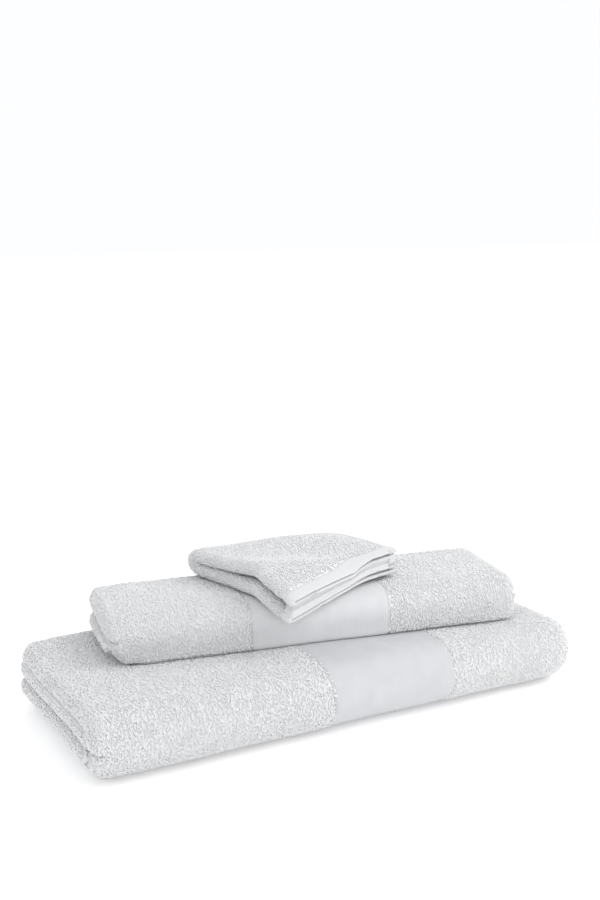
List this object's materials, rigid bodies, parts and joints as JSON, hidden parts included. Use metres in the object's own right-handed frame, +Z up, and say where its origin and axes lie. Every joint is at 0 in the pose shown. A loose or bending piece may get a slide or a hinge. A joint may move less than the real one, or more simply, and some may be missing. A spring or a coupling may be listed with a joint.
{
  "type": "bath towel set",
  "caption": "White terry bath towel, hand towel and washcloth with flat-woven borders and turned hems, folded and stacked; each opens about its last fold",
  "frame": {"origin": "on the ground under the middle of the folded bath towel", "axes": "+X along the bath towel's folded length, +Y from its round front fold to its open back, +Z up"},
  "size_m": [0.47, 0.2086, 0.1317],
  "materials": {
    "terry": "looped cotton pile",
    "border": "flat-woven cotton with fine ribs",
    "hem": "turned flat cotton, stitched",
    "label": "blank satin ribbon"
  },
  "bodies": {
    "bath_base": {"bath_towel_lower_leaf": "terry", "bath_towel_border_lower": "border", "bath_towel_end_hem_lower": "hem", "bath_towel_side_hem_outer": "hem", "bath_towel_side_hem_inner": "hem", "bath_towel_care_label": "label"},
    "bath_leaf": {"bath_towel_upper_leaf": "terry", "bath_towel_border_upper": "border", "bath_towel_end_hem_upper": "hem"},
    "hand_base": {"hand_towel_lower_leaf": "terry", "hand_towel_border_lower": "border", "hand_towel_end_hem_lower": "hem", "hand_towel_side_hem_outer": "hem", "hand_towel_side_hem_inner": "hem", "hand_towel_care_label": "label"},
    "hand_leaf": {"hand_towel_upper_leaf": "terry", "hand_towel_border_upper": "border", "hand_towel_end_hem_upper": "hem"},
    "wash_base": {"washcloth_lower_leaf": "terry", "washcloth_front_hem_lower": "hem", "washcloth_side_hem_lower": "hem"},
    "wash_leaf": {"washcloth_upper_leaf": "terry", "washcloth_front_hem_upper": "hem", "washcloth_side_hem_upper": "hem"}
  },
  "joints": [
    {"name": "bath_towel_unfold", "type": "hinge", "parent": "bath_base", "child": "bath_leaf", "pos_m": [0, -0.102, 0.029], "axis": [1, 0, 0], "range_deg": [0, 30]},
    {"name": "hand_towel_lift", "type": "slide", "parent": "bath_leaf", "child": "hand_base", "axis": [0, 0, 1], "range_m": [0, 0.2]},
    {"name": "hand_towel_unfold", "type": "hinge", "parent": "hand_base", "child": "hand_leaf", "pos_m": [0.00337, -0.03931, 0.07955], "axis": [0.9871, -0.1599, 0], "range_deg": [0, 30]},
    {"name": "washcloth_lift", "type": "slide", "parent": "hand_leaf", "child": "wash_base", "axis": [0, 0, 1], "range_m": [0, 0.15]},
    {"name": "washcloth_unfold", "type": "hinge", "parent": "wash_base", "child": "wash_leaf", "pos_m": [-0.08117, 0.07903, 0.10425], "axis": [-0.9494, -0.1328, 0.2847], "range_deg": [0, 120]}
  ]
}
